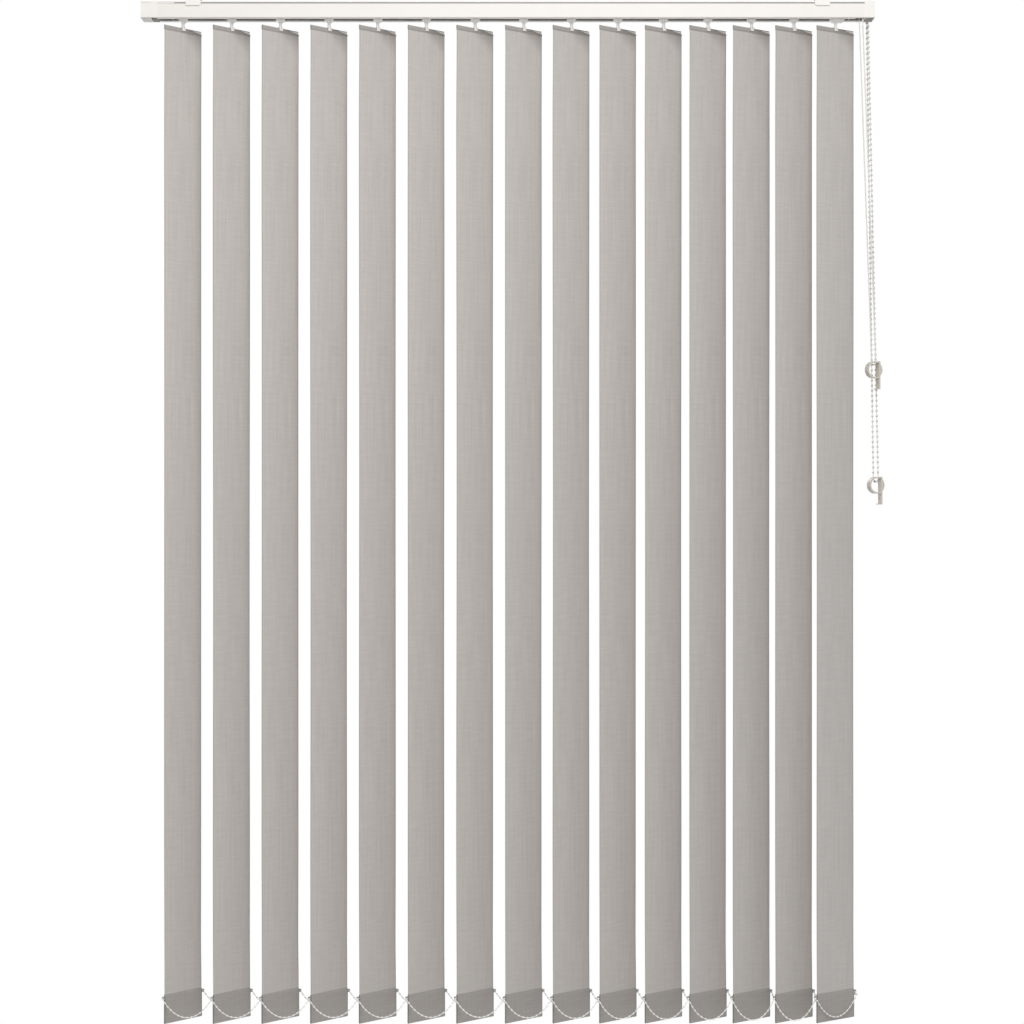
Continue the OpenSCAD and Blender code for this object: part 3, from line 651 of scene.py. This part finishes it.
@dataclass(frozen=True)
class BraidedCord:
    """White braided cord: two sets of strands that wind round it in opposite ways."""

    name: str
    strands: float = 8.0
    lay: float = 0.006
    gap: tuple[float, float] = (0.3, 0.9)
    gap_shade: float = 0.78
    relief: float = 0.0002
    relief_strength: float = 0.7
    roughness: tuple[float, float] = (0.95, 0.75)
    sheen: float = 0.2

    def material(self) -> bpy.types.Material:
        """Makes the material, which reads the cord's UV map: turns around and metres along."""
        material, s, bsdf = new_material(self.name)
        around, far, _ = s.axes(s.node("ShaderNodeUVMap", uv_map="cord").outputs[0])
        along = s.math("DIVIDE", far, self.lay)
        rate = math.pi * self.strands
        left, right = (s.humps(s.math(way, around, along), rate) for way in ("ADD", "SUBTRACT"))
        height = s.math("MAXIMUM", left, right)
        shade = s.ramp(height, *self.gap, (self.gap_shade, 1.0))
        s.skin(bsdf, s.scaled(Tone.CORD.linear()[:3], shade),
               s.ramp(height, 0.0, 1.0, self.roughness),
               s.bump(height, self.relief, self.relief_strength))
        bsdf.inputs["Sheen Weight"].default_value = self.sheen
        return material


@dataclass(frozen=True)
class DrawnMetal:
    """Drawn aluminium with fine lines along X."""

    name: str
    line_scale: tuple[float, float, float] = (6.0, 2600.0, 2600.0)
    line_detail: float = 3.0
    dark: tuple[float, float, float, float] = (0.5, 0.51, 0.53, 1.0)
    contrast: tuple[float, float] = (0.2, 0.8)
    roughness: tuple[float, float] = (0.42, 0.28)
    relief: float = 0.00002
    relief_strength: float = 0.5

    def material(self) -> bpy.types.Material:
        """Makes the material."""
        material, s, bsdf = new_material(self.name)
        lines = s.stretched_noise(s.place(), self.line_scale, self.line_detail)
        s.skin(bsdf, s.mix(lines, self.dark, Tone.ROD.linear()),
               s.ramp(lines, *self.contrast, self.roughness),
               s.bump(lines, self.relief, self.relief_strength))
        bsdf.inputs["Metallic"].default_value = 1.0
        return material


# The blind


@dataclass(frozen=True)
class VaneSizes:
    """Sizes of a vane's cloth, its folds and its slight waves, and how finely it is divided.

    A rate is 1 over the share of a fold's height in which the cloth leaves the seam. The bow and
    waves grow over ease_top below the hem and over ease_low above the pocket. The hem's far corner
    gapes from gape_from of the half width to the edge.
    """

    width: float = 0.089
    hem: float = 0.008
    pocket: float = 0.0475
    cloth: float = 0.0005
    hem_half: float = 0.00115
    pocket_half: float = 0.00155
    tail_rate: float = 3.0
    front_rate: float = 2.5
    pocket_rate: float = 18.0
    back_from: float = 0.945
    bow: float = 0.0015
    edge_curl: float = 0.0006
    curl_power: int = 9
    ease_top: float = 0.16
    ease_low: float = 0.09
    wave: float = 0.0005
    wave_down: float = 5.1
    wave_across: float = 1.4
    phase_step: float = 1.7
    narrowing: float = 0.012
    narrow_from: float = 0.3
    narrow_over: float = 0.2
    gape: float = 0.0044
    gape_from: float = 0.3
    gape_rows: int = 10
    hem_rows: int = 12
    fold_rows: int = 13
    body_rows: int = 110
    pocket_rows: int = 22
    columns: int = 31
    crowding: float = 0.35


@dataclass
class Vane:
    """One hanging vane: a strip of cloth folded into a hem above and a weight pocket below."""

    hang: Hang
    top: float
    bottom: float
    sizes: VaneSizes

    def profile(self) -> tuple[np.ndarray, np.ndarray, np.ndarray, slice]:
        """The cloth's path from the hem's tail, over the top, down, round the pocket and up again.

        Returns:
            Offset behind the vane's plane, height, how far the cloth is doubled, and the rows of
            the front quarter of the top fold.
        """
        z = self.sizes
        hem_r, pocket_r = z.hem_half - z.cloth / 2, z.pocket_half - z.cloth / 2
        seam_hi, seam_lo = self.top - z.hem, self.bottom + z.pocket
        fold_hi, fold_lo = self.top - z.cloth / 2 - hem_r, self.bottom + z.cloth / 2 + pocket_r
        rise = np.linspace(0.0, 1.0, z.hem_rows)
        arc = np.linspace(0.0, math.pi, z.fold_rows)
        tail_z = seam_hi + rise * (fold_hi - seam_hi)
        tail_v = z.cloth + (hem_r - z.cloth) * smoothstep(rise * z.tail_rate)
        front_v = -hem_r * smoothstep(rise[::-1] * z.front_rate)
        body = np.cos(np.linspace(0.0, math.pi, z.body_rows))[1:-1]
        body_z = (seam_hi + seam_lo) / 2 + body * (seam_hi - seam_lo) / 2
        fall = np.linspace(0.0, 1.0, z.pocket_rows)
        fall_z = seam_lo + fall * (fold_lo - seam_lo)
        fall_v = -pocket_r * smoothstep(fall * z.pocket_rate)
        back_v = pocket_r + (z.cloth - pocket_r) * smoothstep((fall - z.back_from) * z.pocket_rate)
        stretches = [  # offset, height, doubled
            (tail_v[:-1], tail_z[:-1], 1.0),
            (hem_r * np.cos(arc), fold_hi + hem_r * np.sin(arc), 1.0),
            (front_v[1:], tail_z[::-1][1:], 1.0),
            (0.0 * body, body_z, 0.0),
            (fall_v[:-1], fall_z[:-1], 1.0),
            (-pocket_r * np.cos(arc), fold_lo - pocket_r * np.sin(arc), 1.0),
            (back_v[1:], fall_z[::-1][1:], 1.0),
        ]
        v, h = (np.concatenate([stretch[k] for stretch in stretches]) for k in (0, 1))
        doubled = np.concatenate([np.full(len(offset), twice) for offset, _, twice in stretches])
        fold = z.hem_rows - 1
        return v, h, doubled, slice(fold + z.fold_rows // 2, fold + z.fold_rows - 1)

    def surface(self) -> tuple[np.ndarray, np.ndarray, np.ndarray, np.ndarray]:
        """The cloth as a grid: the profile carried across the width, bowed and slightly waved.

        Between hem and pocket the cloth bows out in front by a parabola across its width, its edges
        curl back by a steep power of the distance from the middle, and slow sines wave it.

        Returns:
            Points of shape (rows, columns, 3), UV in metres, the doubled value, and quads with the
            hem's open front corner left out.
        """
        z, at = self.sizes, self.hang
        v, h, doubled, quarter = self.profile()
        t = np.linspace(-1.0, 1.0, z.columns)
        t = np.sin(t * math.pi / 2) * z.crowding + t * (1.0 - z.crowding)
        under_hem = smoothstep((self.top - z.hem - h) / z.ease_top)
        free = under_hem * smoothstep((h - self.bottom - z.pocket) / z.ease_low)
        phase = z.phase_step * at.number
        wave = z.wave * np.sin(h * z.wave_down + phase) * np.sin(t[:, None] * z.wave_across + phase)
        bulge = -z.bow * (1.0 - t * t) + z.edge_curl * np.abs(t) ** z.curl_power
        low_down = smoothstep((self.bottom + z.narrow_from - h) / z.narrow_over)
        across = (z.width / 2) * t[None, :] * (1.0 - z.narrowing * free * low_down)[:, None]
        behind = v[:, None] + free[:, None] * (bulge[None, :] + wave.T)
        rows = np.arange(len(h))
        start, end = quarter.stop - 1, quarter.stop + z.gape_rows
        dip = np.where((rows >= start) & (rows <= end), 1.0 - (rows - start) / (end - start), 0.0)
        opening = z.gape * smoothstep((t - z.gape_from) / (1.0 - z.gape_from))
        height = h[:, None] - dip[:, None] * opening[None, :]
        points = (at.hook + across[..., None] * at.across + behind[..., None] * at.behind
                  + height[..., None] * UP)
        step = np.hypot(np.diff(v, prepend=v[:1]), np.diff(h, prepend=h[:1]))
        flat = ((t[None, :] + 1.0) * z.width / 2, np.cumsum(step)[:, None])
        uv = np.stack(np.broadcast_arrays(*flat), axis=-1)
        quads = grid_quads(len(h), z.columns)
        row, col = np.divmod(np.arange(len(quads)), z.columns - 1)
        open_here = (row >= quarter.start) & (row < start) & (t[col] > z.gape_from)
        return points, uv.reshape(-1, 2), np.repeat(doubled, z.columns), quads[~open_here]

    def build(self) -> bpy.types.Object:
        """Makes the vane's cloth, which rides on its body and stands for its plain solid."""
        points, uv, doubled, quads = self.surface()
        label = self.hang.label
        cloth = mesh_object(f"vane_cloth_{label}", points.reshape(-1, 3), quads)
        set_uv(cloth, "cloth", uv)
        set_point_value(cloth, "doubled", doubled)
        thickness = cloth.modifiers.new("cloth", "SOLIDIFY")
        thickness.thickness = self.sizes.cloth
        thickness.offset = 0.0
        body = f"vane_{label}"
        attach(cloth, body)
        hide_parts(body)
        return cloth


@dataclass(frozen=True)
class BeadSizes:
    """Sizes of the bottom bead chains and of the rings that hold them."""

    bead: float = 0.0015
    string: float = 0.0006
    beads: int = 13
    ring_inner: float = 0.0013
    ring_outer: float = 0.0024
    ring_height: float = 0.0014
    clip_reach: float = 0.0042
    slack: float = 0.024
    vane_pitch: float = 0.0798786
    ear: float = 0.0485
    level: float = -1.6315
    level_step: float = 0.0036
    ring_turns: int = 18
    bead_cuts: int = 4
    string_sides: int = 8
    string_steps: int = 4


@dataclass
class BeadChain:
    """A string of beads that hangs in runs between clips on the vanes' ears."""

    sizes: BeadSizes

    def clips(self, parts: MeshParts, pins: np.ndarray, way: np.ndarray) -> np.ndarray:
        """Adds a ring round each pin, with a bead held out on a short arm.

        Args:
            parts: gathers the surfaces.
            pins: pin positions of shape (n, 3).
            way: unit vector from a pin to its bead.

        Returns:
            The beads' positions.
        """
        z = self.sizes
        parts.add_copies(*ring(z.ring_inner, z.ring_outer, z.ring_height, z.ring_turns), pins)
        reach = np.linspace((z.ring_inner + z.ring_outer) / 2, z.clip_reach, 3)
        arm, quads = tube(reach[:, None] * way, z.string, z.string_sides)
        parts.add_copies(arm.reshape(-1, 3), quads, pins)
        beads = pins + z.clip_reach * way
        parts.add_copies(*ball(z.bead, z.bead_cuts), beads)
        return beads

    def run(self, parts: MeshParts, start: np.ndarray, end: np.ndarray, length: float) -> None:
        """Adds a hanging run of string and beads between two clip beads."""
        z = self.sizes
        line = catenary(start, end, length, z.string_steps * (z.beads + 1) + 1)
        parts.add(*tube(line, z.string, z.string_sides))
        strung = line[z.string_steps:-1:z.string_steps]
        parts.add_copies(*ball(z.bead, z.bead_cuts), strung)


@dataclass
class BottomChain(BeadChain):
    """The bead chain along the front or the back ears of all vanes."""

    side: ChainSide
    hangs: Sequence[Hang]

    def build(self) -> bpy.types.Object:
        """Makes the chain, which rides on the chain's body and stands for its plain solid."""
        z, sign = self.sizes, self.side.value
        node = f"{self.side.name.lower()}_bottom_chain"
        parts = MeshParts()
        pins = np.array([h.hook + sign * z.ear * h.across + z.level * UP for h in self.hangs])
        beads = self.clips(parts, pins, np.array([0.0, float(sign), 0.0]))
        for start, end in zip(beads[:-1], beads[1:]):
            self.run(parts, start, end, z.vane_pitch + z.slack)
        chain = parts.mesh_object(f"{self.side.name.lower()}_bead_chain")
        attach(chain, node)
        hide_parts(node)
        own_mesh(chain)
        LOG.info("%s, %d clips", chain.name, len(pins))
        return chain


@dataclass
class EndLoop(BeadChain):
    """The short run of bead chain across the face of the last vane."""

    hang: Hang

    def build(self) -> bpy.types.Object:
        """Makes the run, which rides on the last vane and stands for its plain solid."""
        z = self.sizes
        parts = MeshParts()
        ends = np.array([-1.0, 1.0])[:, None] * z.ear * self.hang.across
        pins = self.hang.hook + ends + (z.level - z.level_step) * UP
        beads = self.clips(parts, pins, -self.hang.behind)
        self.run(parts, beads[0], beads[1], 2.0 * z.ear + z.slack)
        chain = parts.mesh_object("end_bead_loop")
        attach(chain, f"vane_{self.hang.label}")
        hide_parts("end_chain_loop")
        LOG.info("%s", chain.name)
        return chain


@dataclass(frozen=True)
class CordSizes:
    """Places that the traverse cord's route is worked out from, and how finely it is divided."""

    radius: float = 0.001
    front_y: float = -0.0168
    rear_y: float = -0.0128
    top_z: float = -0.0095
    low_z: float = -0.0165
    front_pulley: tuple[float, float] = (0.5756, -0.0135)
    rear_pulley: tuple[float, float] = (0.571, -0.0205)
    pulley_r: float = 0.004
    return_x: float = -0.587
    clip: tuple[float, float] = (0.5986, -0.015)
    clip_turn: float = math.radians(24.0)
    bend_z: float = -0.5982
    bend_half: float = 0.0065
    bend_r: float = 0.004
    straight: float = 0.01
    grip: float = 0.0055
    sides: int = 10
    quarter_points: int = 9
    half_points: int = 17
    step: float = 0.02
    least_step: float = 1e-5


@dataclass
class TraverseCord:
    """The cord that draws the vanes: a loop through both pulleys, the clip and the far end."""

    sizes: CordSizes
    lead_x: float

    def clip_points(self, across: np.ndarray, z: np.ndarray) -> np.ndarray:
        """Points at the safety clip, given their distance across it and their height."""
        c, turn = self.sizes.clip, self.sizes.clip_turn
        x, y = c[0] - across * math.sin(turn), c[1] + across * math.cos(turn)
        return np.stack([x, y, z], axis=-1)

    def pulley_points(
        self, pulley: tuple[float, float], y: float, angles: np.ndarray
    ) -> np.ndarray:
        """Points round a control pulley at the given angles from its top."""
        r = self.sizes.pulley_r
        return np.stack([pulley[0] + r * np.sin(angles), np.full_like(angles, y),
                         pulley[1] + r * np.cos(angles)], axis=-1)

    def route(self) -> np.ndarray:
        """The cord's line from the lead carrier's arm, round the loop and back to it.

        Straight runs join quarter turns at the control pulleys and the clip, and a half turn at
        the return pulley, whose plane leans because the two runs in the rail differ in depth and
        height.

        Returns:
            Points of shape (n, 3).
        """
        z = self.sizes
        q = np.linspace(0.0, math.pi / 2, z.quarter_points)
        start = np.array([[self.lead_x + z.grip, z.front_y, z.top_z]])
        end = np.array([[self.lead_x - z.grip, z.front_y, z.top_z]])
        down = self.pulley_points(z.front_pulley, z.front_y, q)
        up = self.pulley_points(z.rear_pulley, z.rear_y, q[::-1])
        side, above = np.array([z.bend_half]), np.array([z.bend_z + z.straight])
        sine, cosine = z.bend_r * (1 - np.sin(q)), z.bend_r * (1 - np.cos(q))
        near = self.clip_points(cosine - z.bend_half, z.bend_z + sine)
        far = self.clip_points(z.bend_half - sine, z.bend_z + cosine)
        centre = np.array([z.return_x, (z.front_y + z.rear_y) / 2, (z.top_z + z.low_z) / 2])
        lean = np.array([0.0, (z.front_y - z.rear_y) / 2, (z.top_z - z.low_z) / 2])
        reach = np.array([-np.linalg.norm(lean), 0.0, 0.0])
        half = np.linspace(math.pi, 0.0, z.half_points)[:, None]
        back = centre + np.sin(half) * reach + np.cos(half) * lean
        return np.concatenate([start, down, self.clip_points(-side, above), near, far,
                               self.clip_points(side, above), up, back, end])

    def build(self, clips: bpy.types.Object) -> bpy.types.Object:
        """Makes the cord as a tube on the root body and logs its length; the clips argument is not
        used.
        """
        z = self.sizes
        corners = self.route()
        gaps = np.linalg.norm(np.diff(corners, axis=0), axis=1)
        far = np.concatenate([[0.0], np.cumsum(gaps)])
        spots = np.unique(np.concatenate([far, np.arange(0.0, far[-1], z.step)]))
        spots = spots[np.concatenate([[True], np.diff(spots) > z.least_step])]
        line = np.stack([np.interp(spots, far, corners[:, k]) for k in range(3)], axis=-1)
        points, quads = tube(line, z.radius, z.sides)
        cord = mesh_object("draw_cord", points.reshape(-1, 3), quads)
        around = np.linspace(0.0, 1.0, z.sides, endpoint=False)
        uv = np.stack(np.broadcast_arrays(around[None, :], spots[:, None]), axis=-1)
        set_uv(cord, "cord", uv.reshape(-1, 2))
        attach(cord, ROOT)
        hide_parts("traverse_cord")
        LOG.info("cord of %.0f mm", far[-1] * 1000)
        return cord


@dataclass(frozen=True)
class Lamp:
    """A square area lamp that looks from one point to another."""

    name: str
    place: tuple[float, float, float]
    aim: tuple[float, float, float]
    size: float
    watts: float

    def build(self) -> None:
        """Makes the lamp, which the camera doesn't see."""
        data = bpy.data.lights.new(self.name, "AREA")
        data.size = self.size
        data.energy = self.watts
        lamp = bpy.data.objects.new(self.name, data)
        lamp.visible_camera = False
        way = np.array(self.aim) - np.array(self.place)
        tip = math.acos(-way[2] / np.linalg.norm(way))
        lamp.location = self.place
        lamp.rotation_euler = (tip, 0.0, math.atan2(way[1], way[0]) - math.pi / 2)
        bpy.context.scene.collection.objects.link(lamp)


LAMPS = (
    Lamp("key", (0.2, -2.5, 1.55), (0.0, 0.0, -0.6), size=1.8, watts=83.0),
    Lamp("fill", (0.1, -3.2, -1.4), (0.0, 0.0, -0.1), size=1.2, watts=16.0),
    Lamp("back", (-1.6, 2.4, 0.8), (0.0, 0.0, -0.4), size=2.0, watts=42.0),
)


@dataclass(frozen=True)
class Studio:
    """Camera, lamps, floor and white surroundings."""

    eye: tuple[float, float, float] = (0.0069, -4.6, -0.8391)
    image: int = 1024
    sensor: float = 36.0
    rail_pixels: float = 734.5
    rail_length: float = 1.2
    rail_front: float = -0.022
    room_light: float = 0.35
    floor_z: float = -1.95
    floor_x: tuple[float, float, int] = (-3.0, 3.0, 25)
    floor_y: tuple[float, float, int] = (-3.2, 1.3, 21)
    floor_shade: tuple[float, float, float, float] = (0.8, 0.8, 0.8, 1.0)
    floor_scale: float = 3.0
    floor_roughness: float = 0.9

    def camera(self) -> None:
        """A level camera whose lens shows the rail at the photograph's width."""
        data = bpy.data.cameras.new("camera")
        pixels = self.rail_pixels * (self.rail_front - self.eye[1]) / self.rail_length
        data.sensor_width = self.sensor
        data.sensor_fit = "HORIZONTAL"
        data.lens = self.sensor * pixels / self.image
        camera = bpy.data.objects.new("camera", data)
        camera.location = self.eye
        camera.rotation_euler = (math.pi / 2, 0.0, 0.0)
        bpy.context.scene.collection.objects.link(camera)
        bpy.context.scene.camera = camera

    def surroundings(self) -> None:
        """A world that is white to the camera and dimmer as a light."""
        world = bpy.data.worlds.new("white_room")
        world.use_nodes = True
        s = Shader(world.node_tree)
        background = world.node_tree.nodes["Background"]
        path = s.node("ShaderNodeLightPath")
        seen = s.math("MAXIMUM", path.outputs["Is Camera Ray"], path.outputs["Is Glossy Ray"])
        seen = s.math("MAXIMUM", seen, path.outputs["Is Transmission Ray"])
        background.inputs["Color"].default_value = (1.0, 1.0, 1.0, 1.0)
        s.feed(background.inputs["Strength"], s.ramp(seen, 0.0, 1.0, (self.room_light, 1.0)))
        bpy.context.scene.world = world

    def floor(self) -> None:
        """A plain pale floor, as a grid."""
        x, y = np.meshgrid(np.linspace(*self.floor_x), np.linspace(*self.floor_y))
        points = np.stack([x, y, np.full_like(x, self.floor_z)], axis=-1)
        floor = mesh_object("floor", points.reshape(-1, 3), grid_quads(*x.shape))
        material, s, bsdf = new_material("pale_floor")
        patches = s.noise(s.place(), self.floor_scale)
        s.feed(bsdf.inputs["Base Color"], s.mix(patches, self.floor_shade, Tone.FLOOR.linear()))
        bsdf.inputs["Roughness"].default_value = self.floor_roughness
        floor.data.materials.append(material)

    def build(self) -> None:
        """Sets up lamps, floor, world and colour management."""
        for lamp in LAMPS:
            lamp.build()
        self.floor()
        self.surroundings()
        bpy.context.scene.view_settings.view_transform = "Standard"


@dataclass
class Blind:
    """The whole blind: its frame of solids, the pieces that replace some, and all finishes."""

    nodes: dict[str, bpy.types.Object]
    hangs: Sequence[Hang]
    groups: Groups

    def paint(self, pieces: Sequence[bpy.types.Object], material: bpy.types.Material) -> None:
        """Puts one material on each of the pieces."""
        for piece in pieces:
            piece.data.materials.clear()
            piece.data.materials.append(material)

    def named(self, *starts: str) -> list[bpy.types.Object]:
        """The frame's nodes whose names start with one of the given words."""
        return [o for name, o in sorted(self.nodes.items()) if name.startswith(starts)]

    def plastic_chain(self, name: str, tone: Tone) -> bpy.types.Material:
        """Smooth glossy plastic of beads and balls."""
        finish = Moulded(
            name=name, tone=tone, gloss=0.28, pit_scale=3000.0, pit_depth=0.00001, coat=0.2)
        return finish.material(self.groups)

    def dress_frame(self) -> None:
        """Finishes of the rail, mouldings, rod, chain and clips, which keep their own shapes."""
        low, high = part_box("vane_01")
        finishes = {
            # The rail gets a darker band of painted shade at the height of its clip groove.
            ("headrail",): Banded(
                name="painted_aluminium", tone=Tone.RAIL, gloss=0.34, pit_scale=900.0, coat=0.15,
                band_tone=Tone.GROOVE, band=RAIL_GROOVE_SHADE_BAND),
            ("mounting_brackets", "idler_end_cap", "control_end_cap", "return_pulley",
             "chain_wheel", "control_pulley"): Moulded(
                name="white_moulding", tone=Tone.MOULDING, gloss=0.46),
            # Carriers and fittings get the brighter acetal white: painted light for parts in shade
            # under the rail.
            ("carrier_", "lead_carrier"): Moulded(
                name="carrier_acetal", tone=Tone.ACETAL, gloss=0.4),
            ("safety_clips",): Moulded(
                name="clip_moulding", tone=Tone.CLIP, gloss=0.35, drift=0.08),
            ("vane_fittings_",): Banded(
                name="fitting_plastic", tone=Tone.ACETAL, gloss=0.42, pit_scale=2400.0,
                band_tone=Tone.WEIGHT, band=(low.z, (low.z + high.z) / 2)),
        }
        for starts, finish in finishes.items():
            self.paint(self.named(*starts), finish.material(self.groups))
        self.paint(self.named("control_chain"), self.plastic_chain("ball_chain_plastic", Tone.BALL))
        self.paint(self.named("tilt_rod"), DrawnMetal("drawn_rod").material())
        LOG.info("finished %d solids of the frame", len(self.nodes))

    def build(self) -> None:
        """Makes and finishes every piece that stands for a plain solid."""
        cord = TraverseCord(CordSizes(), float(self.hangs[-1].hook[0]))
        self.paint([cord.build(self.nodes["safety_clips"])], BraidedCord("braided_cord").material())
        low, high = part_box("vane_01")
        sizes = VaneSizes()
        vanes = [Vane(hang, high.z, low.z, sizes).build() for hang in self.hangs]
        self.paint(vanes, VaneCloth("vane_cloth", sizes.width).material(self.groups))
        beads = BeadSizes()
        chains = [BottomChain(beads, side, self.hangs).build() for side in ChainSide]
        chains.append(EndLoop(beads, self.hangs[-1]).build())
        self.paint(chains, self.plastic_chain("bead_plastic", Tone.BEAD))
        self.dress_frame()


def hangs_of(joints: Sequence[dict]) -> list[Hang]:
    """Each vane's hang, with its hook where its tilt axis meets the fixing plane.

    Args:
        joints: the frame's joints.

    Returns:
        One Hang per vane, in order.
    """
    tilts = {j["child"]: j["pos_m"] for j in joints if "pos_m" in j}
    axes = [tilts[f"vane_{k:02d}"] for k in range(1, VANE_COUNT + 1)]
    return [Hang(k + 1, np.array([p[0], p[1], 0.0])) for k, p in enumerate(axes)]


def main() -> None:
    """Builds the camera, the blind and the studio."""
    logging.basicConfig(level=logging.INFO, format="%(name)s: %(message)s")
    for leftover in list(bpy.data.objects):
        bpy.data.objects.remove(leftover)
    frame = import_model()
    studio = Studio()
    studio.camera()
    Blind(frame["nodes"], hangs_of(frame["joints"]), Groups.make()).build()
    studio.build()


if __name__ == "__main__":
    main()
